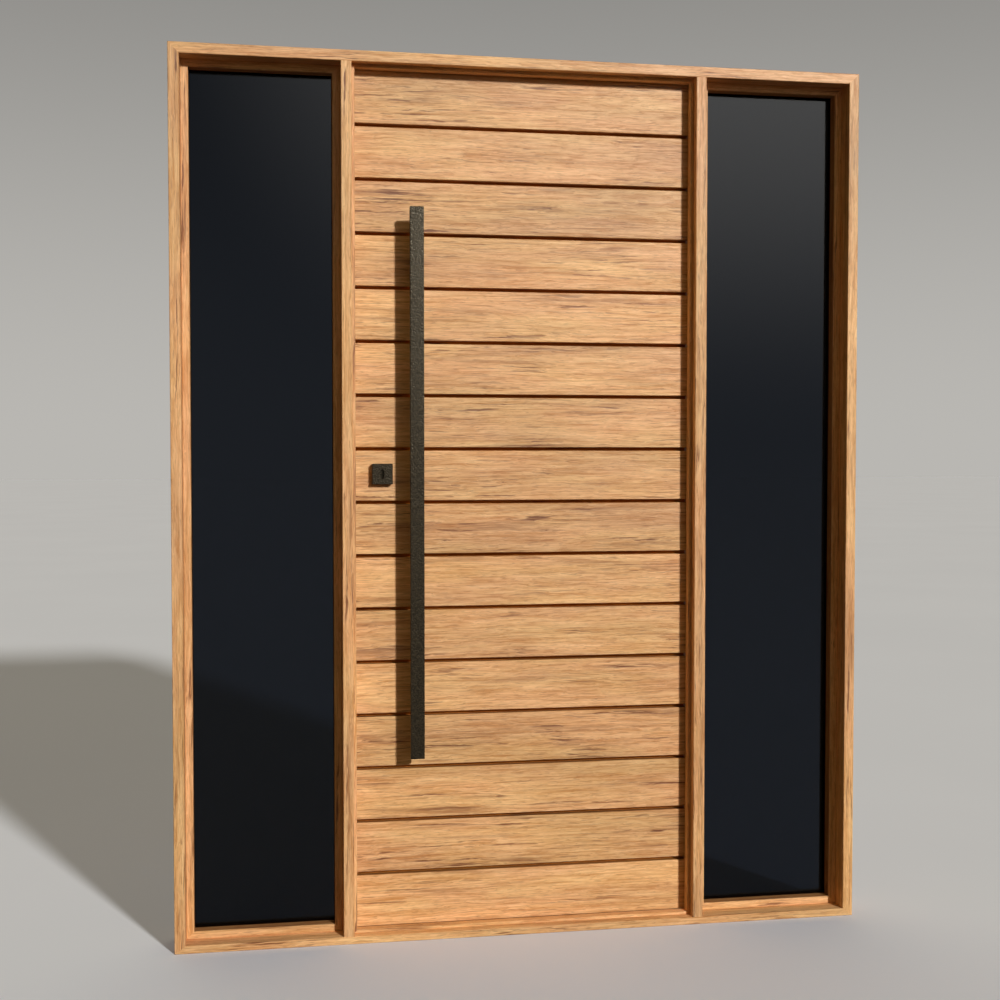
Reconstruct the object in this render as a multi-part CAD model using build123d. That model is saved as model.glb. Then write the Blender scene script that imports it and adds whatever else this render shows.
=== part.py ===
from build123d import *
import os

# Front doorset in oak: a rectangular frame, a boarded leaf that swings inwards, and a fixed
# sidelight of tinted glass on each side. Millimetres. X runs to the right seen from outside,
# Y runs into the building, Z is up. The origin is the middle of the sill's underside.

# Frame
OVERALL_HEIGHT = 2100.0
DOORWAY_WIDTH = 833.0
SIDELIGHT_WIDTH = 367.0
MEMBER_FACE = 25.0
SILL_HEIGHT = 18.0
ARRIS = 1.2

# Stop strip that the leaf closes against, measured from the frame's front
STOP_SETBACK = 23.0
STOP_DEPTH = 23.0
STOP_COVER = 8.0

# Leaf: a core with boards on both faces
BOARD_COUNT = 16
BOARD_THICKNESS = 20.0
BOARD_GROOVE = 8.3
CORE_THICKNESS = 28.0
LEAF_SEAT_GAP = 5.0
LEAF_SIDE_GAP = 5.0
LEAF_END_GAP = 6.5
LATCH_REBATE = 4.0

# Sidelights: outer bead, glass, inner bead
BEAD_SETBACK = 46.0
BEAD_FACE = 18.0
INNER_BEAD_DEPTH = 23.0
GLASS_THICKNESS = 20.0
GLASS_EDGE_GAP = 4.0

# Pull bars, one on each face
BAR_WIDTH = 33.0
BAR_DEPTH = 13.5
BAR_LENGTH = 1301.0
BAR_BOTTOM = 440.0
BAR_BACKSET = 145.0
BAR_HAND_GAP = 54.0
BAR_ARRIS = 1.5
BAR_END_CHAMFER = 1.0
POST_SIDE = 20.0
LOWER_POST_BOARD = 4
UPPER_POST_BOARD = 12

# Lock
LOCK_HEIGHT = 1114.5
LOCK_BACKSET = 67.0
ESCUTCHEON_SIDE = 49.0
ESCUTCHEON_THICKNESS = 18.5
ESCUTCHEON_CORNER = 2.0
ESCUTCHEON_CHAMFER = 1.0
KEY_SLOT_WIDTH = 7.0
KEY_SLOT_HEIGHT = 21.0
KEY_SLOT_DEPTH = 12.0
KEY_SLOT_CHAMFER = 0.8
FACEPLATE_WIDTH = 22.0
FACEPLATE_HEIGHT = 230.0
FACEPLATE_THICKNESS = 3.0
BOLT_WIDTH = 12.0
BOLT_HEIGHT = 34.0
BOLT_LENGTH = 40.0
BOLT_CLEARANCE = 0.5
BOLT_SPACING = 80.0
KEEPER_DEPTH = 14.0

# Hinges: frame half with the pin, door half with the middle knuckle
HINGE_COUNT = 3
HINGE_HEIGHT = 110.0
HINGE_END_DISTANCE = 250.0
HINGE_PLATE_WIDTH = 38.0
HINGE_PLATE_THICKNESS = 2.0
KNUCKLE_RADIUS = 7.0
KNUCKLE_STANDOFF = 1.0
KNUCKLE_END_GAP = 0.3
PIN_RADIUS = 4.0
PIN_CLEARANCE = 0.05
PIN_HEAD_HEIGHT = 4.0

# Worked out from the values above
LEAF_THICKNESS = CORE_THICKNESS + 2 * BOARD_THICKNESS
STOP_BACK = STOP_SETBACK + STOP_DEPTH
LEAF_FRONT = STOP_BACK + LEAF_SEAT_GAP
FRAME_DEPTH = LEAF_FRONT + LEAF_THICKNESS
OVERALL_WIDTH = DOORWAY_WIDTH + 2 * SIDELIGHT_WIDTH + 4 * MEMBER_FACE
HALF_WIDTH = OVERALL_WIDTH / 2
HALF_DOORWAY = DOORWAY_WIDTH / 2
HEAD_UNDERSIDE = OVERALL_HEIGHT - MEMBER_FACE
GLASS_FRONT = FRAME_DEPTH - INNER_BEAD_DEPTH - GLASS_THICKNESS
LEAF_LEFT = -HALF_DOORWAY + LEAF_SIDE_GAP
LEAF_RIGHT = HALF_DOORWAY - LEAF_SIDE_GAP
LEAF_BOTTOM = SILL_HEIGHT + LEAF_END_GAP
LEAF_TOP = HEAD_UNDERSIDE - LEAF_END_GAP
LEAF_HEIGHT = LEAF_TOP - LEAF_BOTTOM
BOARD_PITCH = LEAF_HEIGHT / BOARD_COUNT
CORE_FRONT = LEAF_FRONT + BOARD_THICKNESS
CORE_BACK = CORE_FRONT + CORE_THICKNESS
CORE_MIDDLE = CORE_FRONT + CORE_THICKNESS / 2
BAR_CENTRE = LEAF_LEFT + BAR_BACKSET
LOCK_CENTRE = LEAF_LEFT + LOCK_BACKSET
KEEPER_FACE = -HALF_DOORWAY - LATCH_REBATE
HINGE_AXIS_X = HALF_DOORWAY - LEAF_SIDE_GAP / 2
HINGE_AXIS_DEPTH = FRAME_DEPTH + KNUCKLE_STANDOFF + KNUCKLE_RADIUS


def block(x, depth, z):
    """Box between pairs of limits; depth is measured from the front of the frame."""
    size = [high - low for low, high in (x, depth, z)]
    middle = [(high + low) / 2 for low, high in (x, depth, z)]
    return Pos(middle[0], middle[1] - FRAME_DEPTH / 2, middle[2]) * Box(*size)


def at_depth(x, depth, z):
    """Location of a point whose depth is measured from the front of the frame."""
    return Pos(x, depth - FRAME_DEPTH / 2, z)


def eased(solid, axis):
    """Solid whose sharp edges along one axis are planed off."""
    return chamfer(solid.edges().filter_by(axis), ARRIS)


def prism(outline, depth):
    """Outline in X and Z carried straight back between two depths."""
    front, back = depth
    points = [(x, front - FRAME_DEPTH / 2, z) for x, z in outline]
    return extrude(make_face(Polyline(*points, close=True)), back - front, dir=(0, 1, 0))


def mitred_ring(x, z, widths, depth):
    """Strips round a rectangle, mitred where they meet: left, right, top and bottom.

    The limits x and z are the outer ones, and widths are those of the sides, top and bottom.
    """
    side, top, bottom = widths
    inner_x = (x[0] + side, x[1] - side)
    inner_z = (z[0] + bottom, z[1] - top)
    outer = [(x[0], z[0]), (x[1], z[0]), (x[1], z[1]), (x[0], z[1])]
    inner = [
        (inner_x[0], inner_z[0]),
        (inner_x[1], inner_z[0]),
        (inner_x[1], inner_z[1]),
        (inner_x[0], inner_z[1]),
    ]

    def strip(start, end, axis):
        outline = (outer[start], outer[end], inner[end], inner[start])
        return eased(prism(outline, depth), axis)

    return strip(3, 0, Axis.Z), strip(1, 2, Axis.Z), strip(2, 3, Axis.X), strip(0, 1, Axis.X)


def frame_members():
    """Mitred outer frame, and two mullions that stand between its head and sill."""
    depth = (0, FRAME_DEPTH)
    upright = (SILL_HEIGHT, HEAD_UNDERSIDE)
    left_jamb, right_jamb, head, sill = mitred_ring(
        (-HALF_WIDTH, HALF_WIDTH), (0, OVERALL_HEIGHT), (MEMBER_FACE, MEMBER_FACE, SILL_HEIGHT), depth
    )
    mullion_outer = HALF_DOORWAY + MEMBER_FACE
    right_mullion = eased(block((HALF_DOORWAY, mullion_outer), depth, upright), Axis.Z)
    left_mullion = eased(block((-mullion_outer, -HALF_DOORWAY), depth, upright), Axis.Z)
    left_mullion -= block((KEEPER_FACE, -HALF_DOORWAY), (STOP_BACK, FRAME_DEPTH), upright)
    left_mullion -= keeper_pocket()
    return {
        "sill": sill,
        "head": head,
        "left_jamb": left_jamb,
        "right_jamb": right_jamb,
        "left_mullion": left_mullion,
        "right_mullion": right_mullion,
    }


def door_stops():
    """Four mitred strips that line the doorway in front of the leaf."""
    left, right, top, bottom = mitred_ring(
        (-HALF_DOORWAY, HALF_DOORWAY),
        (SILL_HEIGHT, HEAD_UNDERSIDE),
        (STOP_COVER, STOP_COVER, STOP_COVER),
        (STOP_SETBACK, STOP_BACK),
    )
    return {"left_stop": left, "right_stop": right, "head_stop": top, "sill_stop": bottom}


def bead_strips(low, high, depth):
    """Mitred bead strips round one sidelight: left, right, top and bottom."""
    widths = (BEAD_FACE, BEAD_FACE, BEAD_FACE)
    return mitred_ring((low, high), (SILL_HEIGHT, HEAD_UNDERSIDE), widths, depth)


def sidelight(side, low, high):
    """Fixed glass between four outer beads and four thinner inner beads."""
    glass_back = GLASS_FRONT + GLASS_THICKNESS
    left, right, top, bottom = bead_strips(low, high, (BEAD_SETBACK, GLASS_FRONT))
    inner = bead_strips(low, high, (glass_back, FRAME_DEPTH))
    pane_x = (low + GLASS_EDGE_GAP, high - GLASS_EDGE_GAP)
    pane_z = (SILL_HEIGHT + GLASS_EDGE_GAP, HEAD_UNDERSIDE - GLASS_EDGE_GAP)
    return {
        f"{side}_light_left_bead": left,
        f"{side}_light_right_bead": right,
        f"{side}_light_top_bead": top,
        f"{side}_light_bottom_bead": bottom,
        f"{side}_light_inner_side_beads": Compound(children=[inner[0], inner[1]]),
        f"{side}_light_inner_cross_beads": Compound(children=[inner[2], inner[3]]),
        f"{side}_light_glass": block(pane_x, (GLASS_FRONT, glass_back), pane_z),
    }


def board_limits(index):
    """Bottom and top of one board; the end boards reach the ends of the leaf."""
    low = LEAF_BOTTOM + index * BOARD_PITCH
    high = low + BOARD_PITCH
    if index > 0:
        low += BOARD_GROOVE / 2
    if index < BOARD_COUNT - 1:
        high -= BOARD_GROOVE / 2
    return low, high


def board_centre(index):
    """Height of the middle of one board."""
    return LEAF_BOTTOM + (index + 0.5) * BOARD_PITCH


def leaf_boards(depth):
    """Horizontal boards across one face of the leaf, with an open groove between them."""
    across = (LEAF_LEFT, LEAF_RIGHT)
    boards = [block(across, depth, board_limits(i)) for i in range(BOARD_COUNT)]
    return Compound(children=[eased(board, Axis.X) for board in boards])


def lock_plate(outer, inner):
    """Upright plate in the middle of the leaf's edge, between two X limits."""
    half_width = FACEPLATE_WIDTH / 2
    half_height = FACEPLATE_HEIGHT / 2
    depth = (CORE_MIDDLE - half_width, CORE_MIDDLE + half_width)
    return block((outer, inner), depth, (LOCK_HEIGHT - half_height, LOCK_HEIGHT + half_height))


def lock_case():
    """Space in the latch edge of the core for the faceplate and the bolts behind it."""
    case = lock_plate(LEAF_LEFT, LEAF_LEFT + FACEPLATE_THICKNESS)
    for z in bolt_heights():
        case += bolt(LEAF_LEFT, BOLT_LENGTH, z, 0)
    return case


def bolt_heights():
    """Heights of the latch bolt and the dead bolt."""
    return LOCK_HEIGHT + BOLT_SPACING / 2, LOCK_HEIGHT - BOLT_SPACING / 2


def bolt(start, length, z, clearance):
    """Rectangular bolt that runs along X from start, thinned by a clearance."""
    half_depth = BOLT_WIDTH / 2 - clearance
    half_height = BOLT_HEIGHT / 2 - clearance
    return block(
        (start, start + length),
        (CORE_MIDDLE - half_depth, CORE_MIDDLE + half_depth),
        (z - half_height, z + half_height),
    )


def keeper_pocket():
    """Recess in the latch mullion for the keeper plate and the bolts' sockets."""
    pocket = lock_plate(KEEPER_FACE - FACEPLATE_THICKNESS, KEEPER_FACE)
    for z in bolt_heights():
        pocket += bolt(KEEPER_FACE - KEEPER_DEPTH, KEEPER_DEPTH, z, 0)
    return pocket


def edge_plate(outer, inner):
    """Plate with two bolt openings, between two X limits."""
    plate = lock_plate(outer, inner)
    for z in bolt_heights():
        plate -= bolt(outer, inner - outer, z, 0)
    return plate


def lock():
    """Escutcheons on both faces, the faceplate, the bolts and the keeper on the mullion."""
    bolts = [bolt(LEAF_LEFT, BOLT_LENGTH, z, BOLT_CLEARANCE) for z in bolt_heights()]
    return {
        "outer_escutcheon": escutcheon(LEAF_FRONT, -1),
        "inner_escutcheon": escutcheon(FRAME_DEPTH, 1),
        "lock_faceplate": edge_plate(LEAF_LEFT, LEAF_LEFT + FACEPLATE_THICKNESS),
        "lock_bolts": Compound(children=bolts),
        "lock_keeper": edge_plate(KEEPER_FACE - FACEPLATE_THICKNESS, KEEPER_FACE),
    }


def escutcheon(face, outward):
    """Chamfered square block with an upright key slot; outward is -1 outside and 1 inside."""
    turn = 90 if outward < 0 else -90
    plane = at_depth(LOCK_CENTRE, face, LOCK_HEIGHT) * Rot(turn, 0, 0)
    outline = RectangleRounded(ESCUTCHEON_SIDE, ESCUTCHEON_SIDE, ESCUTCHEON_CORNER)
    slot = Rot(0, 0, 90) * SlotOverall(KEY_SLOT_HEIGHT, KEY_SLOT_WIDTH)
    body = extrude(outline, ESCUTCHEON_THICKNESS)
    body = chamfer(body.faces().sort_by(Axis.Z)[-1].edges(), ESCUTCHEON_CHAMFER)
    body -= Pos(0, 0, ESCUTCHEON_THICKNESS - KEY_SLOT_DEPTH) * extrude(slot, KEY_SLOT_DEPTH)
    rim = body.faces().sort_by(Axis.Z)[-1].inner_wires()[0]
    return plane * chamfer(rim.edges(), KEY_SLOT_CHAMFER)


def leaf():
    """Core with the lock's recess, and the boards on both faces."""
    core = block((LEAF_LEFT, LEAF_RIGHT), (CORE_FRONT, CORE_BACK), (LEAF_BOTTOM, LEAF_TOP))
    return {
        "leaf_core": core - lock_case(),
        "outer_boards": leaf_boards((LEAF_FRONT, CORE_FRONT)),
        "inner_boards": leaf_boards((CORE_BACK, FRAME_DEPTH)),
    }


def pull_bar(face, outward):
    """Flat bar and its two posts; the posts stand on the middles of two boards."""
    bar_x = (BAR_CENTRE - BAR_WIDTH / 2, BAR_CENTRE + BAR_WIDTH / 2)
    near = face + outward * BAR_HAND_GAP
    far = near + outward * BAR_DEPTH
    bar = block(bar_x, sorted((near, far)), (BAR_BOTTOM, BAR_BOTTOM + BAR_LENGTH))
    bar = fillet(bar.edges().filter_by(Axis.Z), BAR_ARRIS)
    ends = bar.faces().sort_by(Axis.Z)
    bar = chamfer(ends[0].edges() + ends[-1].edges(), BAR_END_CHAMFER)
    half = POST_SIDE / 2
    posts = [
        block((BAR_CENTRE - half, BAR_CENTRE + half), sorted((face, near)), (z - half, z + half))
        for z in (board_centre(LOWER_POST_BOARD), board_centre(UPPER_POST_BOARD))
    ]
    return bar, Compound(children=posts)


def pull_bars():
    """The same bar on the outside and on the inside, fixed back to back."""
    outer_bar, outer_posts = pull_bar(LEAF_FRONT, -1)
    inner_bar, inner_posts = pull_bar(FRAME_DEPTH, 1)
    return {
        "outer_pull_bar": outer_bar,
        "outer_bar_posts": outer_posts,
        "inner_pull_bar": inner_bar,
        "inner_bar_posts": inner_posts,
    }


def knuckle(low, high, radius):
    """Upright cylinder on the hinge axis between two heights."""
    middle = at_depth(HINGE_AXIS_X, HINGE_AXIS_DEPTH, (low + high) / 2)
    return middle * Cylinder(radius, high - low)


def hinge(centre):
    """Butt hinge: two frame knuckles with the pin, and the door knuckle that turns on it."""
    bottom = centre - HINGE_HEIGHT / 2
    top = centre + HINGE_HEIGHT / 2
    third = HINGE_HEIGHT / 3
    plate_depth = (FRAME_DEPTH - HINGE_PLATE_WIDTH, FRAME_DEPTH)
    tab_depth = (FRAME_DEPTH, HINGE_AXIS_DEPTH)
    frame_x = (HALF_DOORWAY - HINGE_PLATE_THICKNESS, HALF_DOORWAY)
    door_x = (LEAF_RIGHT, LEAF_RIGHT + HINGE_PLATE_THICKNESS)
    door_z = (bottom + third + KNUCKLE_END_GAP, top - third - KNUCKLE_END_GAP)

    frame_half = block(frame_x, plate_depth, (bottom, top))
    for low, high in ((bottom, bottom + third), (top - third, top)):
        frame_half += block(frame_x, tab_depth, (low, high))
        frame_half += knuckle(low, high, KNUCKLE_RADIUS)
    frame_half += knuckle(bottom - PIN_HEAD_HEIGHT, top + PIN_HEAD_HEIGHT, PIN_RADIUS)

    door_half = block(door_x, plate_depth, (bottom, top))
    door_half += block(door_x, tab_depth, door_z)
    door_half += knuckle(*door_z, KNUCKLE_RADIUS)
    door_half -= knuckle(*door_z, PIN_RADIUS + PIN_CLEARANCE)
    return frame_half, door_half


def hinges():
    """Hinges spaced evenly between the end distances, counted from the bottom."""
    lowest = LEAF_BOTTOM + HINGE_END_DISTANCE
    highest = LEAF_TOP - HINGE_END_DISTANCE
    step = (highest - lowest) / (HINGE_COUNT - 1)
    nodes = {}
    for i in range(HINGE_COUNT):
        frame_half, door_half = hinge(lowest + i * step)
        nodes[f"hinge_{i + 1}_frame_half"] = frame_half
        nodes[f"hinge_{i + 1}_door_half"] = door_half
    return nodes


def doorset():
    """Every node of the doorset by name."""
    light_inner = HALF_DOORWAY + MEMBER_FACE
    light_outer = light_inner + SIDELIGHT_WIDTH
    nodes = {}
    nodes.update(frame_members())
    nodes.update(door_stops())
    nodes.update(sidelight("left", -light_outer, -light_inner))
    nodes.update(sidelight("right", light_inner, light_outer))
    nodes.update(leaf())
    nodes.update(pull_bars())
    nodes.update(lock())
    nodes.update(hinges())
    return nodes


os.makedirs("parts", exist_ok=True)
for name, shape in doorset().items():
    export_step(shape, f"parts/{name}.step")
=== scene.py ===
import logging
from collections.abc import Iterable
from dataclasses import dataclass
from enum import Enum
from functools import cache
from math import pi, radians

import bpy
import numpy as np
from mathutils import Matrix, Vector


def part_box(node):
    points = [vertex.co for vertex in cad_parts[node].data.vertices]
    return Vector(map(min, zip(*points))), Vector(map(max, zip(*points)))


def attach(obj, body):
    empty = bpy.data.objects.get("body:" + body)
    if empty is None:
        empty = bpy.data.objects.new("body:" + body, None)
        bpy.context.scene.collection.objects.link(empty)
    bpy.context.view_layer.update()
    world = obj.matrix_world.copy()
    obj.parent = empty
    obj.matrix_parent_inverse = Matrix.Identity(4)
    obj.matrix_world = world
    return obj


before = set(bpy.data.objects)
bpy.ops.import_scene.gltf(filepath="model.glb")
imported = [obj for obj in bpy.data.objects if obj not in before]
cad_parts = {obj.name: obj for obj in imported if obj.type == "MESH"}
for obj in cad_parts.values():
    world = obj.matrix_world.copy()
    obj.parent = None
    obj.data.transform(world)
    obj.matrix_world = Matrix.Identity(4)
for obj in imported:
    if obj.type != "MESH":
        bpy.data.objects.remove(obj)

# An oak front doorset with a boarded leaf, black furniture and a tinted sidelight on each side.
# Metres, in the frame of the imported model: X to the right seen from outside, Y into the
# building, Z up from the underside of the sill.

log = logging.getLogger("doorset")

Span = tuple[float, float]
Triple = tuple[float, float, float]
Colour = tuple[float, float, float, float]
Socket = bpy.types.NodeSocket
Value = float | Triple | Colour | Socket


class Grain(Enum):
    """Direction in which the fibres of a piece of timber run."""

    ACROSS = "X"
    UPRIGHT = "Z"


class Axis(Enum):
    """Direction in which a finish changes over a piece."""

    DEPTH = "Y"
    HEIGHT = "Z"


class Side(Enum):
    """Side of the leaf on which a sidelight stands, seen from outside."""

    LEFT = "left"
    RIGHT = "right"


def linear(red: int, green: int, blue: int) -> Colour:
    """Turns a display colour of 0 to 255 into scene light.

    Args:
        red: Red of the display colour.
        green: Green of the display colour.
        blue: Blue of the display colour.

    Returns:
        The colour as linear values, with an alpha of 1.
    """
    display = np.array((red, green, blue)) / 255
    light = np.where(display <= 0.04045, display / 12.92, ((display + 0.055) / 1.055) ** 2.4)
    return (*light.tolist(), 1.0)


class Shader:
    """Lays out and wires the nodes of one shader tree."""

    def __init__(self, tree: bpy.types.NodeTree) -> None:
        """Starts with an empty tree."""
        self.tree = tree
        tree.nodes.clear()

    def feed(self, target: Socket, value: Value) -> None:
        """Links an input to a socket, or sets it to a plain value.

        Args:
            target: Input to feed.
            value: Socket or plain value that it gets.
        """
        if isinstance(value, Socket):
            self.tree.links.new(value, target)
        else:
            target.default_value = value

    def fill(self, node: bpy.types.Node, inputs: dict[str | int, Value]) -> None:
        """Feeds several inputs of a node.

        Args:
            node: Node to fill.
            inputs: Values or sockets by the input's name or number.
        """
        for key, value in inputs.items():
            self.feed(node.inputs[key], value)

    def add(
        self, kind: str, inputs: dict[str | int, Value] | None = None, **settings: object
    ) -> bpy.types.Node:
        """Adds a node and fills its inputs.

        Args:
            kind: Node type without its ShaderNode prefix.
            inputs: Values or sockets by the input's name or number.
            settings: Properties of the node itself.

        Returns:
            The new node.
        """
        node = self.tree.nodes.new("ShaderNode" + kind)
        for name, value in settings.items():
            setattr(node, name, value)
        self.fill(node, inputs or {})
        return node

    def place(self) -> Socket:
        """Returns the place on the piece, in metres."""
        return self.add("TexCoord").outputs["Object"]

    def reach(self, axis: Axis) -> Socket:
        """Returns the place on the piece along one axis, in metres."""
        return self.add("SeparateXYZ", {0: self.place()}).outputs[axis.value]

    def seen(self) -> Socket:
        """Tells what is seen, straight on, mirrored or through glass, from what only lights.

        Returns:
            1 where it is seen and 0 where it lights.
        """
        path = self.add("LightPath").outputs
        straight = self.compute("ADD", path["Is Camera Ray"], path["Is Glossy Ray"])
        return self.compute("ADD", straight, path["Is Transmission Ray"])

    def compute(self, operation: str, *values: Value) -> Socket:
        """Returns the result of a Math node on up to three values."""
        return self.add("Math", dict(enumerate(values)), operation=operation).outputs[0]

    def stretch(self, vector: Socket, factors: Triple) -> Socket:
        """Returns a vector multiplied by one factor per axis."""
        return self.add("VectorMath", {0: vector, 1: factors}, operation="MULTIPLY").outputs[0]

    def noise(self, vector: Socket, detail: float = 2.0, roughness: float = 0.5) -> Socket:
        """Returns smooth noise of 0 to 1 with one cell per unit of the vector."""
        inputs = {"Vector": vector, "Scale": 1.0, "Detail": detail, "Roughness": roughness}
        return self.add("TexNoise", inputs).outputs["Fac"]

    def step(self, value: Socket, low: float, high: float) -> Socket:
        """Returns a smooth step from 0 at the low value to 1 at the high one."""
        inputs = {"Value": value, "From Min": low, "From Max": high}
        return self.add("MapRange", inputs, interpolation_type="SMOOTHSTEP").outputs["Result"]

    def spread(self, value: Socket, target: Span, source: Span = (0.0, 1.0)) -> Socket:
        """Carries a value straight from one range into another.

        Args:
            value: Value to carry over, held at the ends of its range.
            target: Range of the result.
            source: Range of the value.

        Returns:
            The value in the target's range.
        """
        names = ("From Min", "From Max", "To Min", "To Max")
        inputs = dict(zip(names, (*source, *target)))
        return self.add("MapRange", {"Value": value, **inputs}).outputs["Result"]

    def blend(self, factor: Value, first: Value, second: Value, how: str = "MIX") -> Socket:
        """Mixes two colours.

        Args:
            factor: Share of the second colour, as 0 to 1.
            first: Colour at a factor of 0.
            second: Colour that is mixed in.
            how: Blending mode.

        Returns:
            The mixed colour.
        """
        node = self.add("Mix", {"Factor": factor}, data_type="RGBA", blend_type=how)
        colours = {socket.name: socket for socket in node.inputs if socket.type == "RGBA"}
        self.feed(colours["A"], first)
        self.feed(colours["B"], second)
        return next(socket for socket in node.outputs if socket.type == "RGBA")


class Group(Shader):
    """A shader group that several materials share."""

    def __init__(self, name: str) -> None:
        """Starts an empty group of that name."""
        super().__init__(bpy.data.node_groups.new(name, "ShaderNodeTree"))

    def takes(self, **kinds: str) -> dict[str, Socket]:
        """Args:
            kinds: Kind of each input by its name.

        Returns:
            The sockets inside the group that carry the inputs.
        """
        for name, kind in kinds.items():
            self.tree.interface.new_socket(name, in_out="INPUT", socket_type="NodeSocket" + kind)
        source = self.tree.nodes.new("NodeGroupInput")
        return {name: source.outputs[name] for name in kinds}

    def gives(self, **sockets: tuple[str, Socket]) -> None:
        """Args:
            sockets: Kind and source socket of each output by its name.
        """
        for name, (kind, _) in sockets.items():
            self.tree.interface.new_socket(name, in_out="OUTPUT", socket_type="NodeSocket" + kind)
        target = self.tree.nodes.new("NodeGroupOutput")
        for name, (_, socket) in sockets.items():
            self.feed(target.inputs[name], socket)


@dataclass(frozen=True)
class Layer:
    """Noise drawn out along the fibres, sized in cells per metre along and across them."""

    along: float
    across: float
    detail: float = 2.0
    roughness: float = 0.5

    def draw(self, shader: Shader, place: Socket) -> Socket:
        """Returns the noise of 0 to 1 at a place whose X runs along the fibres."""
        cells = shader.stretch(place, (self.along, self.across, self.across))
        return shader.noise(cells, self.detail, self.roughness)


@dataclass(frozen=True)
class Mark(Layer):
    """Marks of one colour that show where a layer of noise is high."""

    span: Span = (0.5, 0.7)
    strength: float = 1.0
    colour: Colour = linear(102, 52, 18)

    def cover(self, shader: Shader, place: Socket) -> Socket:
        """Returns how far a mark covers a place, as 0 to 1."""
        return shader.step(self.draw(shader, place), *self.span)


@dataclass(frozen=True)
class OakFigure:
    """Figure of oak in layers of noise drawn out along the fibres.

    Sweeps and ripples bend the fibres. Fibres and streaks a few millimetres wide run from a light
    colour to a dark one, over patches of tint and shade. Smoky patches and dark flecks gather in
    clusters, and fine open pores lie all over.
    """

    seed_shift: Triple = (3.7, 1.9, 2.3)
    sweep: Layer = Layer(1.5, 7.0)
    sweep_reach: float = 0.030
    ripple: Layer = Layer(14.0, 60.0)
    ripple_reach: float = 0.009
    fibre: Layer = Layer(10.0, 290.0, 3.0, 0.7)
    streak: Layer = Layer(3.5, 80.0, 3.0, 0.6)
    streak_share: float = 0.6
    figure_span: Span = (0.42, 1.22)
    light: Colour = linear(237, 191, 140)
    dark: Colour = linear(179, 117, 57)
    hue: Layer = Layer(2.4, 15.0, 3.0)
    hue_span: Span = (0.36, 0.64)
    yellow_tint: Colour = (1.01, 1.03, 0.94, 1.0)
    red_tint: Colour = (1.0, 0.955, 0.94, 1.0)
    cluster: Layer = Layer(2.6, 15.0)
    cluster_span: Span = (0.36, 0.60)
    cluster_per_tone: float = -0.06
    smoke: Mark = Mark(2.4, 46.0, 4.0, 0.62, (0.50, 0.72), 0.70, linear(134, 84, 44))
    fleck: Mark = Mark(5.5, 150.0, 3.0, 0.6, (0.55, 0.70), 0.95, linear(102, 52, 18))
    pore: Mark = Mark(36.0, 700.0, 1.0, 0.5, (0.54, 0.68), 0.3, linear(108, 60, 20))
    pore_depth: float = 0.6
    shade: Layer = Layer(2.0, 11.0, 3.0)
    lightness: float = 0.725
    lightness_per_tone: float = 0.10
    lightness_per_shade: float = 0.76
    roughness: float = 0.40
    roughness_per_fibre: float = 0.16

    def bend(self, group: Group, place: Socket, seed: Socket) -> Socket:
        """Moves a place by its seed, then sideways by a slow sweep and a quicker ripple.

        Args:
            group: Group that gets the nodes.
            place: Place in metres with the fibres along its X.
            seed: Number that picks a part of the figure.

        Returns:
            The place in a figure whose fibres run straight.
        """
        shift = group.add("VectorMath", {0: self.seed_shift, "Scale": seed}, operation="SCALE")
        moved = group.add("VectorMath", {0: place, 1: shift.outputs[0]}).outputs[0]
        sweep = group.compute("SUBTRACT", self.sweep.draw(group, moved), 0.5)
        drift = group.compute("MULTIPLY", sweep, self.sweep_reach)
        drift = group.compute("MULTIPLY_ADD", self.ripple.draw(group, moved), self.ripple_reach, drift)
        aside = group.add("CombineXYZ", {"Y": drift, "Z": drift}).outputs[0]
        return group.add("VectorMath", {0: moved, 1: aside}).outputs[0]

    @cache
    def group(self) -> bpy.types.NodeTree:
        """Builds the figure's shader group, once.

        Returns:
            Group that takes a place in metres with the fibres along its X, a seed that moves the
            figure and a tone of -1 to 1, and gives colour, roughness and height.
        """
        group = Group("oak_grain")
        given = group.takes(Place="Vector", Seed="Float", Tone="Float")
        place = self.bend(group, given["Place"], given["Seed"])
        fibre = self.fibre.draw(group, place)
        cluster = self.cluster.draw(group, place)
        crowd = group.compute("MULTIPLY_ADD", given["Tone"], self.cluster_per_tone, cluster)
        crowd = group.step(crowd, *self.cluster_span)
        smoke = group.compute("MULTIPLY", self.smoke.cover(group, place), crowd)
        fleck = group.compute("MULTIPLY", self.fleck.cover(group, place), crowd)
        pore = self.pore.cover(group, place)

        streak = self.streak.draw(group, place)
        figure = group.compute("MULTIPLY_ADD", streak, self.streak_share, fibre)
        colour = group.blend(group.step(figure, *self.figure_span), self.light, self.dark)
        patch = group.step(self.hue.draw(group, place), *self.hue_span)
        tint = group.blend(patch, self.yellow_tint, self.red_tint)
        colour = group.blend(1.0, colour, tint, "MULTIPLY")
        for mark, cover in ((self.smoke, smoke), (self.fleck, fleck), (self.pore, pore)):
            colour = group.blend(group.compute("MULTIPLY", cover, mark.strength), colour, mark.colour)
        lift = group.compute("MULTIPLY_ADD", given["Tone"], self.lightness_per_tone, self.lightness)
        shade = self.shade.draw(group, place)
        lift = group.compute("MULTIPLY_ADD", shade, self.lightness_per_shade, lift)
        colour = group.add("VectorMath", {0: colour, "Scale": lift}, operation="SCALE").outputs[0]

        rough = group.compute("MULTIPLY_ADD", fibre, self.roughness_per_fibre, self.roughness)
        sunk = group.compute("MULTIPLY_ADD", pore, self.pore_depth, fleck)
        height = group.compute("SUBTRACT", fibre, sunk)
        group.gives(Colour=("Color", colour), Roughness=("Float", rough), Height=("Float", height))
        return group.tree


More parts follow.
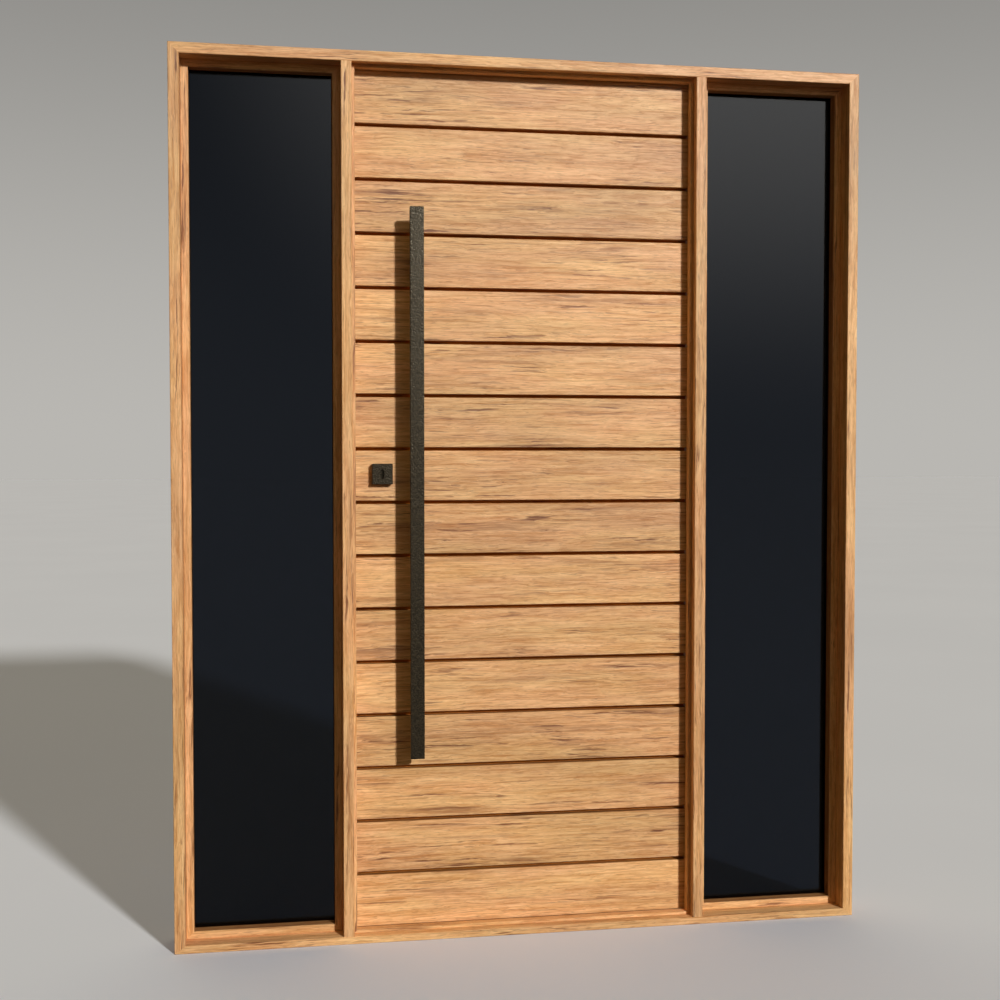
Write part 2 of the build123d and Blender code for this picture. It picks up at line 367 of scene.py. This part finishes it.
@dataclass(frozen=True)
class SteelBrush:
    """Fine upright brush marks in steel, sized in cells per metre."""

    cells: Triple = (2600.0, 2600.0, 60.0)
    dark: Colour = linear(176, 174, 170)
    bright: Colour = linear(205, 204, 201)
    roughness: Span = (0.26, 0.42)

    @cache
    def group(self) -> bpy.types.NodeTree:
        """Builds the brush marks' shader group, once.

        Returns:
            Group that takes a place in metres, and gives colour and roughness.
        """
        group = Group("steel_brush")
        place = group.takes(Place="Vector")["Place"]
        brush = group.noise(group.stretch(place, self.cells))
        colour = group.blend(brush, self.dark, self.bright)
        rough = group.spread(brush, self.roughness)
        group.gives(Colour=("Color", colour), Roughness=("Float", rough))
        return group.tree


@cache
def oak_painted_shade() -> bpy.types.NodeTree:
    """Builds the shader group of painted shade that darkens oak, and of a dulling, once.

    Returns:
        Group that takes the unshaded colour and roughness, the amount of painted shade as 0 to 1,
        the colour that full painted shade multiplies by and the roughness that it adds, and gives
        the shaded colour and roughness.
    """
    group = Group("oak_painted_shade")
    given = group.takes(
        Colour="Color", Roughness="Float", Amount="Float", Stain="Color", Dulling="Float"
    )
    # Painted shade: the colour is multiplied down by the amount of shade.
    colour = group.blend(given["Amount"], given["Colour"], given["Stain"], "MULTIPLY")
    rough = group.compute("MULTIPLY_ADD", given["Amount"], given["Dulling"], given["Roughness"])
    group.gives(Colour=("Color", colour), Roughness=("Float", rough))
    return group.tree


OAK_FIGURE = OakFigure()
STEEL_BRUSH = SteelBrush()


@dataclass(frozen=True)
class Finish:
    """A finish that is put on pieces by name."""

    name: str

    def build(self, shader: Shader, surface: bpy.types.Node) -> None:
        """Wires the finish into a new material.

        Args:
            shader: Tree of the material.
            surface: Principled BSDF that feeds the material's output.
        """
        raise NotImplementedError

    @cache
    def material(self) -> bpy.types.Material:
        """Makes the finish's material, once.

        Returns:
            The material.
        """
        material = bpy.data.materials.new(self.name)
        material.use_nodes = True
        shader = Shader(material.node_tree)
        surface = shader.add("BsdfPrincipled")
        shader.add("OutputMaterial", {"Surface": surface.outputs[0]})
        self.build(shader, surface)
        return material

    def put_on(self, *pieces: bpy.types.Object) -> None:
        """Gives pieces this finish as their only material.

        Args:
            pieces: Objects to dress.
        """
        for piece in pieces:
            piece.data.materials.clear()
            piece.data.materials.append(self.material())
            log.info("%s: %s", piece.name, self.name)


@dataclass(frozen=True)
class OakFinish(Finish):
    """Lacquered oak whose fibres run one way."""

    grain: Grain
    seed: float
    tone: float = 0.0
    relief: float = 0.0005
    bump_strength: float = 0.35
    specular: float = 0.38

    def figured(self, shader: Shader, seed: Value, tone: Value) -> bpy.types.Node:
        """Lays the figure of oak with its fibres along the grain.

        Args:
            shader: Tree of the material.
            seed: Number that picks a part of the figure.
            tone: Lightness of the piece, from -1 to 1.

        Returns:
            The node of the figure's group.
        """
        place = shader.place()
        if self.grain is Grain.UPRIGHT:
            axes = shader.add("SeparateXYZ", {0: place}).outputs
            turned = {"X": axes["Z"], "Y": axes["X"], "Z": axes["Y"]}
            place = shader.add("CombineXYZ", turned).outputs[0]
        inputs = {"Place": place, "Seed": seed, "Tone": tone}
        return shader.add("Group", inputs, node_tree=OAK_FIGURE.group())

    def figure(self, shader: Shader) -> bpy.types.Node:
        """Returns the node of the figure with one seed and tone for the whole piece."""
        return self.figured(shader, self.seed, self.tone)

    def build(self, shader: Shader, surface: bpy.types.Node) -> None:
        """Wires the figure and its relief into a new material.

        Args:
            shader: Tree of the material.
            surface: Principled BSDF that feeds the material's output.
        """
        figure = self.figure(shader).outputs
        relief = {"Strength": self.bump_strength, "Distance": self.relief, "Height": figure["Height"]}
        inputs = {
            "Base Color": figure["Colour"],
            "Roughness": figure["Roughness"],
            "Normal": shader.add("Bump", relief).outputs["Normal"],
            "Specular IOR Level": self.specular,
        }
        shader.fill(surface, inputs)


@dataclass(frozen=True)
class PaintedShadeFinish(OakFinish):
    """Oak that is darkened by painted shade and made duller beyond a given place on one axis."""

    # Colour that full painted shade multiplies by; this default darkens the outer sidelight beads
    # towards the glass.
    stain: Triple = (0.48, 0.38, 0.26)
    dulling: float = 0.45
    axis: Axis = Axis.DEPTH
    start: float = 0.0
    full: float = 0.0

    def painted_shading(self, shader: Shader) -> Socket:
        """Returns how much painted shade a place has, as 0 to 1."""
        return shader.step(shader.reach(self.axis), self.start, self.full)

    def build(self, shader: Shader, surface: bpy.types.Node) -> None:
        """Wires the painted shade and the dulling between the figure and the surface of a new
        material.

        Args:
            shader: Tree of the material.
            surface: Principled BSDF that feeds the material's output.
        """
        super().build(shader, surface)
        inputs = {
            "Colour": surface.inputs["Base Color"].links[0].from_socket,
            "Roughness": surface.inputs["Roughness"].links[0].from_socket,
            "Amount": self.painted_shading(shader),
            "Stain": (*self.stain, 1.0),
            "Dulling": self.dulling,
        }
        painted_shading = shader.add("Group", inputs, node_tree=oak_painted_shade()).outputs
        shader.fill(surface, {"Base Color": painted_shading["Colour"], "Roughness": painted_shading["Roughness"]})


@dataclass(frozen=True)
class BoardFinish(PaintedShadeFinish):
    """Oak of a stack of boards, each with its own figure and tone and painted shade in the groove
    along its top edge.
    """

    bottom: float = 0.0
    pitch: float = 1.0
    edge: float = 0.0
    edge_fade: float = 0.001
    seed_step: float = 2.7
    tone_spread: float = 437.5

    def count(self, shader: Shader) -> Socket:
        """Returns the height in boards above the foot of the stack."""
        above = shader.compute("SUBTRACT", shader.reach(Axis.HEIGHT), self.bottom)
        return shader.compute("DIVIDE", above, self.pitch)

    def painted_shading(self, shader: Shader) -> Socket:
        """Keeps the painted shade to the grooves at the top edges of the boards.

        Args:
            shader: Tree of the material.

        Returns:
            How much painted shade a place has, as 0 to 1.
        """
        rim = 1.0 - self.edge / self.pitch
        # Painted shade on the faces of the groove behind the board's front.
        above = shader.compute("FRACT", self.count(shader))
        on_edge = shader.step(above, rim, rim + self.edge_fade)
        return shader.compute("MULTIPLY", super().painted_shading(shader), on_edge)

    def figure(self, shader: Shader) -> bpy.types.Node:
        """Lays the figure with a seed and a tone for each board.

        The seed grows by one step per board. The tone is the fraction of a tall sine of the seed,
        carried from the range 0 to 1 into the range -1 to 1.

        Args:
            shader: Tree of the material.

        Returns:
            The node of the figure's group.
        """
        index = shader.compute("FLOOR", self.count(shader))
        seed = shader.compute("MULTIPLY_ADD", index, self.seed_step, self.seed)
        wave = shader.compute("MULTIPLY", shader.compute("SINE", seed), self.tone_spread)
        tone = shader.compute("MULTIPLY_ADD", shader.compute("FRACT", wave), 2.0, -1.0)
        return self.figured(shader, seed, tone)


@dataclass(frozen=True)
class CoatFinish(Finish):
    """Black powder coat with the fine orange peel of its texture, whose crests are painted lighter as
    glints.
    """

    grain: float = 0.0034
    grain_detail: float = 2.0
    grain_roughness: float = 0.6
    relief: float = 0.0006
    hollow: Colour = linear(10, 5, 1)
    painted_glint: Colour = linear(28, 20, 8)
    painted_glint_span: Span = (0.42, 0.66)
    roughness: Span = (0.20, 0.34)
    roughness_span: Span = (0.3, 0.7)
    specular: float = 0.39
    sheen: Colour = (1.0, 0.86, 0.63, 1.0)

    def build(self, shader: Shader, surface: bpy.types.Node) -> None:
        """Wires the texture of the coat into a new material.

        Args:
            shader: Tree of the material.
            surface: Principled BSDF that feeds the material's output.
        """
        cells = shader.stretch(shader.place(), (1 / self.grain,) * 3)
        height = shader.noise(cells, self.grain_detail, self.grain_roughness)
        bump = shader.add("Bump", {"Strength": 1.0, "Distance": self.relief, "Height": height})
        # The crests of the orange peel are painted lighter as glints, over the coat's own black.
        painted_glint = shader.step(height, *self.painted_glint_span)
        inputs = {
            "Base Color": shader.blend(painted_glint, self.hollow, self.painted_glint),
            "Roughness": shader.spread(height, self.roughness, self.roughness_span),
            "Normal": bump.outputs["Normal"],
            "Specular IOR Level": self.specular,
            "Specular Tint": self.sheen,
        }
        shader.fill(surface, inputs)


@dataclass(frozen=True)
class SteelFinish(Finish):
    """Satin stainless steel, brushed upright."""

    def build(self, shader: Shader, surface: bpy.types.Node) -> None:
        """Wires the brush marks into a new material.

        Args:
            shader: Tree of the material.
            surface: Principled BSDF that feeds the material's output.
        """
        inputs = {"Place": shader.place()}
        brush = shader.add("Group", inputs, node_tree=STEEL_BRUSH.group()).outputs
        inputs = {"Base Color": brush["Colour"], "Roughness": brush["Roughness"], "Metallic": 1.0}
        shader.fill(surface, inputs)


@dataclass(frozen=True)
class ScrewFinish(SteelFinish):
    """Satin steel with painted shade in the cross recess."""

    painted_recess_shade: Colour = linear(38, 36, 34)

    def build(self, shader: Shader, surface: bpy.types.Node) -> None:
        """Wires the painted shade of the recess over the steel of a new material.

        Args:
            shader: Tree of the material.
            surface: Principled BSDF that feeds the material's output.
        """
        super().build(shader, surface)
        # The cross recess is painted dark as shade.
        recess = shader.add("Attribute", attribute_name="recess").outputs["Fac"]
        clean = surface.inputs["Base Color"].links[0].from_socket
        shader.fill(surface, {"Base Color": shader.blend(recess, clean, self.painted_recess_shade)})


@dataclass(frozen=True)
class GlassFinish(Finish):
    """Deeply tinted glass with a faint film on it."""

    tint: Colour = linear(27, 33, 43)
    ior: float = 1.25
    film_cells: Triple = (3.0, 3.0, 1.4)
    film_detail: float = 3.0
    roughness: Span = (0.02, 0.07)

    def build(self, shader: Shader, surface: bpy.types.Node) -> None:
        """Wires the film and the tint into a new material.

        Args:
            shader: Tree of the material.
            surface: Principled BSDF that feeds the material's output.
        """
        film = shader.noise(shader.stretch(shader.place(), self.film_cells), self.film_detail)
        inputs = {
            "Base Color": self.tint,
            "Roughness": shader.spread(film, self.roughness),
            "IOR": self.ior,
            "Transmission Weight": 1.0,
        }
        shader.fill(surface, inputs)


@dataclass(frozen=True)
class FloorFinish(Finish):
    """Plain pale floor that throws little light back up, with a faint painted blue glow where it is
    seen that keeps its shadows neutral.
    """

    cloud_cells: Triple = (0.7, 0.7, 0.7)
    cloud_detail: float = 3.0
    pale: Colour = linear(226, 227, 229)
    paler: Colour = linear(232, 233, 235)
    thrown_back: Colour = linear(68, 52, 26)
    dark: Colour = (0.0, 0.0, 0.0, 1.0)
    painted_blue_glow: Colour = (0.0, 0.015, 0.050, 1.0)
    roughness: float = 0.9

    def build(self, shader: Shader, surface: bpy.types.Node) -> None:
        """Wires the seen and the lighting colours of the floor into a new material.

        Args:
            shader: Tree of the material.
            surface: Principled BSDF that feeds the material's output.
        """
        cloud = shader.noise(shader.stretch(shader.place(), self.cloud_cells), self.cloud_detail)
        pale = shader.blend(cloud, self.pale, self.paler)
        seen = shader.seen()
        inputs = {
            "Base Color": shader.blend(seen, self.thrown_back, pale),
            # Painted glow: the seen floor gives off a faint blue light of its own.
            "Emission Color": shader.blend(seen, self.dark, self.painted_blue_glow),
            "Emission Strength": 1.0,
            "Roughness": self.roughness,
            "Specular IOR Level": 0.0,
        }
        shader.fill(surface, inputs)


BLACK_COAT = CoatFinish("textured_black")
SATIN_STEEL = SteelFinish("brushed_steel")
SCREW_STEEL = ScrewFinish("screw_steel")
TINTED_GLASS = GlassFinish("smoked_glass")


def nodes(*names: str) -> list[bpy.types.Object]:
    """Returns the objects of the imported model's nodes, by name."""
    return [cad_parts[name] for name in names]


@dataclass
class OakFrame:
    """Mitred outer frame, mullions and door stops, each with the tone of its timber."""

    upright: tuple[tuple[str, float], ...] = (
        ("left_jamb", 0.0), ("right_jamb", 0.4), ("left_mullion", 0.5), ("right_mullion", -0.2),
        ("left_stop", 0.2), ("right_stop", 0.0),
    )
    across: tuple[tuple[str, float], ...] = (
        ("head", 0.2), ("sill", 0.4), ("head_stop", 0.0), ("sill_stop", 0.8),
    )
    first_seed: float = 11.0
    seed_step: float = 3.1
    top_stain: Triple = (1.0, 1.0, 1.0)
    top_fade: float = 0.0005

    def dress(self) -> None:
        """Gives every member its own figure along its length, and a dull top."""
        for grain, members in ((Grain.UPRIGHT, self.upright), (Grain.ACROSS, self.across)):
            for number, (name, tone) in enumerate(members):
                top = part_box(name)[1].z
                # A white painted shade leaves the colour as it is: the tops of the members are only
                # made duller.
                finish = PaintedShadeFinish(
                    f"oak_{name}", grain, self.first_seed + self.seed_step * number, tone,
                    stain=self.top_stain, axis=Axis.HEIGHT, start=top - self.top_fade, full=top,
                )
                finish.put_on(*nodes(name))


@dataclass
class Sidelight:
    """Fixed pane of tinted glass between mitred beads."""

    side: Side
    upright_seed: float
    cross_seed: float
    unshaded_edge: float = 0.0006
    shade_fade: float = 0.006

    def dress(self) -> None:
        """Gives the beads their grain with painted shade that darkens them towards the glass, and the
        pane its tint.
        """
        name = f"{self.side.value}_light"
        pairs = (
            (Grain.UPRIGHT, self.upright_seed, ("left_bead", "right_bead"), "inner_side_beads"),
            (Grain.ACROSS, self.cross_seed, ("top_bead", "bottom_bead"), "inner_cross_beads"),
        )
        for grain, seed, outer, inner in pairs:
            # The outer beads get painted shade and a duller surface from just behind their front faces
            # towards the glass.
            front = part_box(f"{name}_{outer[0]}")[0].y + self.unshaded_edge
            label = f"oak_{name}_{grain.name.lower()}"
            bead = PaintedShadeFinish(label, grain, seed, start=front, full=front + self.shade_fade)
            bead.put_on(*nodes(*(f"{name}_{part}" for part in outer)))
            OakFinish(f"{label}_inner", grain, seed).put_on(*nodes(f"{name}_{inner}"))
        TINTED_GLASS.put_on(*nodes(f"{name}_glass"))


@dataclass
class Leaf:
    """Leaf of a core faced with boards on both sides."""

    boards: int = 16
    board_edge: float = 0.0046
    unshaded_edge: float = 0.0004
    shade_fade: float = 0.003
    # Painted shade in the grooves along the top edges of the boards.
    groove_painted_shade: Triple = (0.42, 0.30, 0.10)
    # Painted shade on the core, which shows at the backs of the grooves.
    core_painted_shade: Triple = (0.86, 0.53, 0.16)
    outer_seed: float = 19.35
    inner_seed: float = 31.6
    core_seed: float = 71.0

    def dress(self) -> None:
        """Gives each board its own figure and painted shade in the groove along its top edge, and the
        core a full painted shade.
        """
        faces = (("outer_boards", self.outer_seed, 1.0), ("inner_boards", self.inner_seed, -1.0))
        for node, seed, inward in faces:
            low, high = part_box(node)
            front = (low.y if inward > 0 else high.y) + inward * self.unshaded_edge
            finish = BoardFinish(
                f"oak_{node}", Grain.ACROSS, seed, stain=self.groove_painted_shade,
                start=front, full=front + inward * self.shade_fade,
                bottom=low.z, pitch=(high.z - low.z) / self.boards, edge=self.board_edge,
            )
            finish.put_on(*nodes(node))
        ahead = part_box("leaf_core")[0].y - self.shade_fade
        core = PaintedShadeFinish(
            "oak_leaf_core", Grain.ACROSS, self.core_seed, stain=self.core_painted_shade,
            start=ahead - self.shade_fade, full=ahead,
        )
        core.put_on(*nodes("leaf_core"))


@dataclass
class ScrewRow:
    """Countersunk screw heads with a cross recess on one upright plate.

    Each head is a surface of two parameters, the angle round the head's axis and the step from
    its middle over the rim to its back. The face rises as a shallow dome and sinks where a
    rounded cross lies.
    """

    name: str
    body: str
    face: float
    outward: float
    centres: tuple[Span, ...]
    radius: float = 0.0036
    first_ring: float = 0.02
    proud: float = 0.00028
    dome: float = 0.92
    sunk: float = 0.0004
    cross_reach: float = 0.0021
    cross_width: float = 0.0009
    cross_depth: float = 0.00022
    cross_slope: float = 0.0002
    rings: int = 12
    spokes: int = 48

    def head(self) -> tuple[np.ndarray, np.ndarray]:
        """Works out one head about the origin, with its axis along X.

        The dome is the square root of 1 less a share of the squared radius. The recess is the
        product of two slopes, one across the arms of the cross and one at their ends.

        Returns:
            Points by ring and spoke, and the depth of the recess at each point as 0 to 1.
        """
        turn = np.linspace(0.0, 2 * pi, self.spokes, endpoint=False)
        reach = np.append(np.linspace(self.first_ring, 1.0, self.rings) * self.radius, self.radius)
        reach, turn = np.meshgrid(reach, turn, indexing="ij")
        y, z = reach * np.cos(turn), reach * np.sin(turn)
        small, large = np.sort(np.abs((y, z)), axis=0)
        arm = np.clip((self.cross_width / 2 - small) / self.cross_slope + 0.5, 0.0, 1.0)
        recess = arm * np.clip((self.cross_reach - large) / self.cross_slope + 0.5, 0.0, 1.0)
        fall = self.dome * (reach / self.radius) ** 2
        rise = self.proud * np.sqrt(np.clip(1.0 - fall, 0.0, 1.0)) - self.cross_depth * recess
        rise[-1] = -self.sunk
        return np.stack((self.outward * rise, y, z), axis=-1), recess

    def build(self) -> bpy.types.Object:
        """Makes every head of the plate as one mesh.

        Returns:
            The new piece, which rides on the plate's body.
        """
        points, recess = self.head()
        rings, spokes = recess.shape
        middles = np.array([(self.face, y, z) for y, z in self.centres])
        vertices = (middles[:, None, None, :] + points).reshape(-1, 3)
        index = np.arange(len(middles) * rings * spokes).reshape(len(middles), rings, spokes)
        after = np.roll(index, -1, axis=2)
        quads = np.stack((index[:, :-1], index[:, 1:], after[:, 1:], after[:, :-1]), axis=-1)
        order = slice(None, None, int(self.outward))
        faces = quads.reshape(-1, 4)[:, order].tolist()
        faces += index[:, 0, order].tolist()
        faces += index[:, -1, ::-1][:, order].tolist()
        mesh = bpy.data.meshes.new(self.name)
        mesh.from_pydata(vertices.tolist(), [], faces)
        # The depth of the cross recess is kept for the painted shade in it.
        dark = mesh.attributes.new("recess", "FLOAT", "POINT")
        dark.data.foreach_set("value", np.tile(recess.ravel(), len(middles)).astype(np.float32))
        piece = bpy.data.objects.new(self.name, mesh)
        bpy.context.scene.collection.objects.link(piece)
        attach(piece, self.body)
        log.info("%s: %d screws on %s", self.name, len(middles), self.body)
        SCREW_STEEL.put_on(piece)
        return piece


@dataclass
class Furniture:
    """Pull bars, lock and hinges."""

    hinges: int = 3
    plate_gap: float = 0.001
    plate_screws: tuple[Span, ...] = (
        (0.011, -0.042), (0.011, 0.042), (0.026, -0.018), (0.026, 0.018),
    )
    screw_inset: float = 0.012
    coated: tuple[str, ...] = (
        "outer_pull_bar", "outer_bar_posts", "inner_pull_bar", "inner_bar_posts",
        "outer_escutcheon", "inner_escutcheon",
    )
    bright: tuple[str, ...] = ("lock_faceplate", "lock_bolts", "lock_keeper")

    def build(self) -> None:
        """Drives the screws of the hinges, the faceplate and the keeper."""
        for number in range(1, self.hinges + 1):
            for half, body, outward in (("frame", "frame", -1.0), ("door", "leaf", 1.0)):
                low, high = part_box(f"hinge_{number}_{half}_half")
                middle = (low + high) / 2
                face = middle.x - outward * self.plate_gap / 2
                centres = tuple((low.y + y, middle.z + z) for y, z in self.plate_screws)
                ScrewRow(f"hinge_{number}_{half}_screws", body, face, outward, centres).build()
        for node, body, outward in (("lock_faceplate", "leaf", -1.0), ("lock_keeper", "frame", 1.0)):
            low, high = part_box(node)
            middle = (low + high) / 2
            ends = (low.z + self.screw_inset, high.z - self.screw_inset)
            face = high.x if outward > 0 else low.x
            ScrewRow(f"{node}_screws", body, face, outward, tuple((middle.y, z) for z in ends)).build()

    def dress(self) -> None:
        """Gives the bars and lock plates their coat, and the rest its steel."""
        BLACK_COAT.put_on(*nodes(*self.coated))
        SATIN_STEEL.put_on(*nodes(*self.bright))
        for number in range(1, self.hinges + 1):
            SATIN_STEEL.put_on(*nodes(f"hinge_{number}_frame_half", f"hinge_{number}_door_half"))


@dataclass
class Studio:
    """Floor, lights and camera."""

    floor_reach: float = 60.0
    light_path: Triple = (-0.455, 1.0, -0.427)
    light_spread: float = radians(4.0)
    key_strength: float = 2.9
    glow_strength: float = 4.5
    glow_span: Span = (0.88, 1.0)
    glow_rise: Span = (0.0, 0.3)
    sky_strength: float = 0.22
    horizon_strength: float = 0.486
    horizon_span: Span = (0.45, 0.0)
    sky_colour: Colour = (1.0, 0.973, 0.92, 1.0)
    fill_strength: float = 0.14
    fill_colour: Colour = (1.0, 0.78, 0.32, 1.0)
    rear_strength: float = 0.75
    rear_colour: Colour = (1.0, 0.93, 0.80, 1.0)
    rear_span: Span = (0.1, 0.9)
    eye: Triple = (-0.6196, -3.3280, 1.1651)
    turn: float = 0.16751
    dip: float = 0.03397
    lens: float = 50.0
    sensor: float = 36.0

    def build(self) -> None:
        """Makes the floor, the key light, the fill and the camera."""
        self.build_floor()
        self.build_light()
        self.build_camera()

    def build_floor(self) -> None:
        """Lays a square floor under the sill."""
        corners = np.array([(-1, -1), (1, -1), (1, 1), (-1, 1)]) * self.floor_reach
        points = np.column_stack((corners, np.zeros(len(corners))))
        mesh = bpy.data.meshes.new("floor")
        mesh.from_pydata(points.tolist(), [], [(0, 1, 2, 3)])
        floor = bpy.data.objects.new("floor", mesh)
        bpy.context.scene.collection.objects.link(floor)
        FloorFinish("pale_floor").put_on(floor)

    def build_light(self) -> None:
        """Hangs a soft key light on the right and fills the shadows evenly."""
        lamp = bpy.data.lights.new("key", "SUN")
        lamp.energy = self.key_strength
        lamp.angle = self.light_spread
        key = bpy.data.objects.new("key", lamp)
        key.rotation_euler = Vector(self.light_path).to_track_quat("-Z", "Y").to_euler()
        bpy.context.scene.collection.objects.link(key)
        bpy.context.scene.world = self.backdrop()

    def backdrop(self) -> bpy.types.World:
        """Makes the soft surroundings.

        They are as pale as the floor at the horizon and fade to a dim sky. Polished pieces also
        reflect a wide glow about the key light. The fill is stronger from behind, where the key
        does not reach.

        Returns:
            The world that holds them.
        """
        world = bpy.data.worlds.new("studio")
        world.use_nodes = True
        shader = Shader(world.node_tree)
        direction = shader.add("TexCoord").outputs["Generated"]
        axes = shader.add("SeparateXYZ", {0: direction}).outputs
        seen = shader.seen()

        inputs = {0: direction, 1: -Vector(self.light_path).normalized()}
        facing = shader.add("VectorMath", inputs, operation="DOT_PRODUCT").outputs["Value"]
        risen = shader.step(axes["Z"], *self.glow_rise)
        glow = shader.compute("MULTIPLY", shader.step(facing, *self.glow_span), risen)
        mirrored = shader.add("LightPath").outputs["Is Glossy Ray"]
        glow = shader.compute("MULTIPLY", glow, mirrored)
        low = shader.step(axes["Z"], *self.horizon_span)
        gain = self.horizon_strength - self.sky_strength
        sky = shader.compute("MULTIPLY_ADD", low, gain, self.sky_strength)
        sky = shader.compute("MULTIPLY_ADD", glow, self.glow_strength, sky)

        behind = shader.step(axes["Y"], *self.rear_span)
        fill = shader.compute("MULTIPLY_ADD", behind, self.rear_strength, self.fill_strength)
        fill_colour = shader.blend(behind, self.fill_colour, self.rear_colour)
        inputs = {
            "Color": shader.blend(seen, fill_colour, self.sky_colour),
            "Strength": shader.add("Mix", {0: seen, 2: fill, 3: sky}).outputs[0],
        }
        light = shader.add("Background", inputs)
        shader.add("OutputWorld", {"Surface": light.outputs[0]})
        return world

    def build_camera(self) -> None:
        """Stands the camera at the photograph's viewpoint."""
        data = bpy.data.cameras.new("camera")
        data.lens = self.lens
        data.sensor_width = self.sensor
        camera = bpy.data.objects.new("camera", data)
        camera.location = self.eye
        camera.rotation_euler = (pi / 2 - self.dip, 0.0, -self.turn)
        bpy.context.scene.collection.objects.link(camera)
        bpy.context.scene.camera = camera


def main() -> None:
    """Dresses the doorset and sets it in the studio."""
    logging.basicConfig(level=logging.INFO, format="%(name)s %(message)s")
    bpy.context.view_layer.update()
    OakFrame().dress()
    Sidelight(Side.LEFT, upright_seed=35.0, cross_seed=51.0).dress()
    Sidelight(Side.RIGHT, upright_seed=36.0, cross_seed=52.0).dress()
    Leaf().dress()
    furniture = Furniture()
    furniture.dress()
    furniture.build()
    Studio().build()
    bpy.context.scene.view_settings.view_transform = "Standard"


if __name__ == "__main__":
    main()
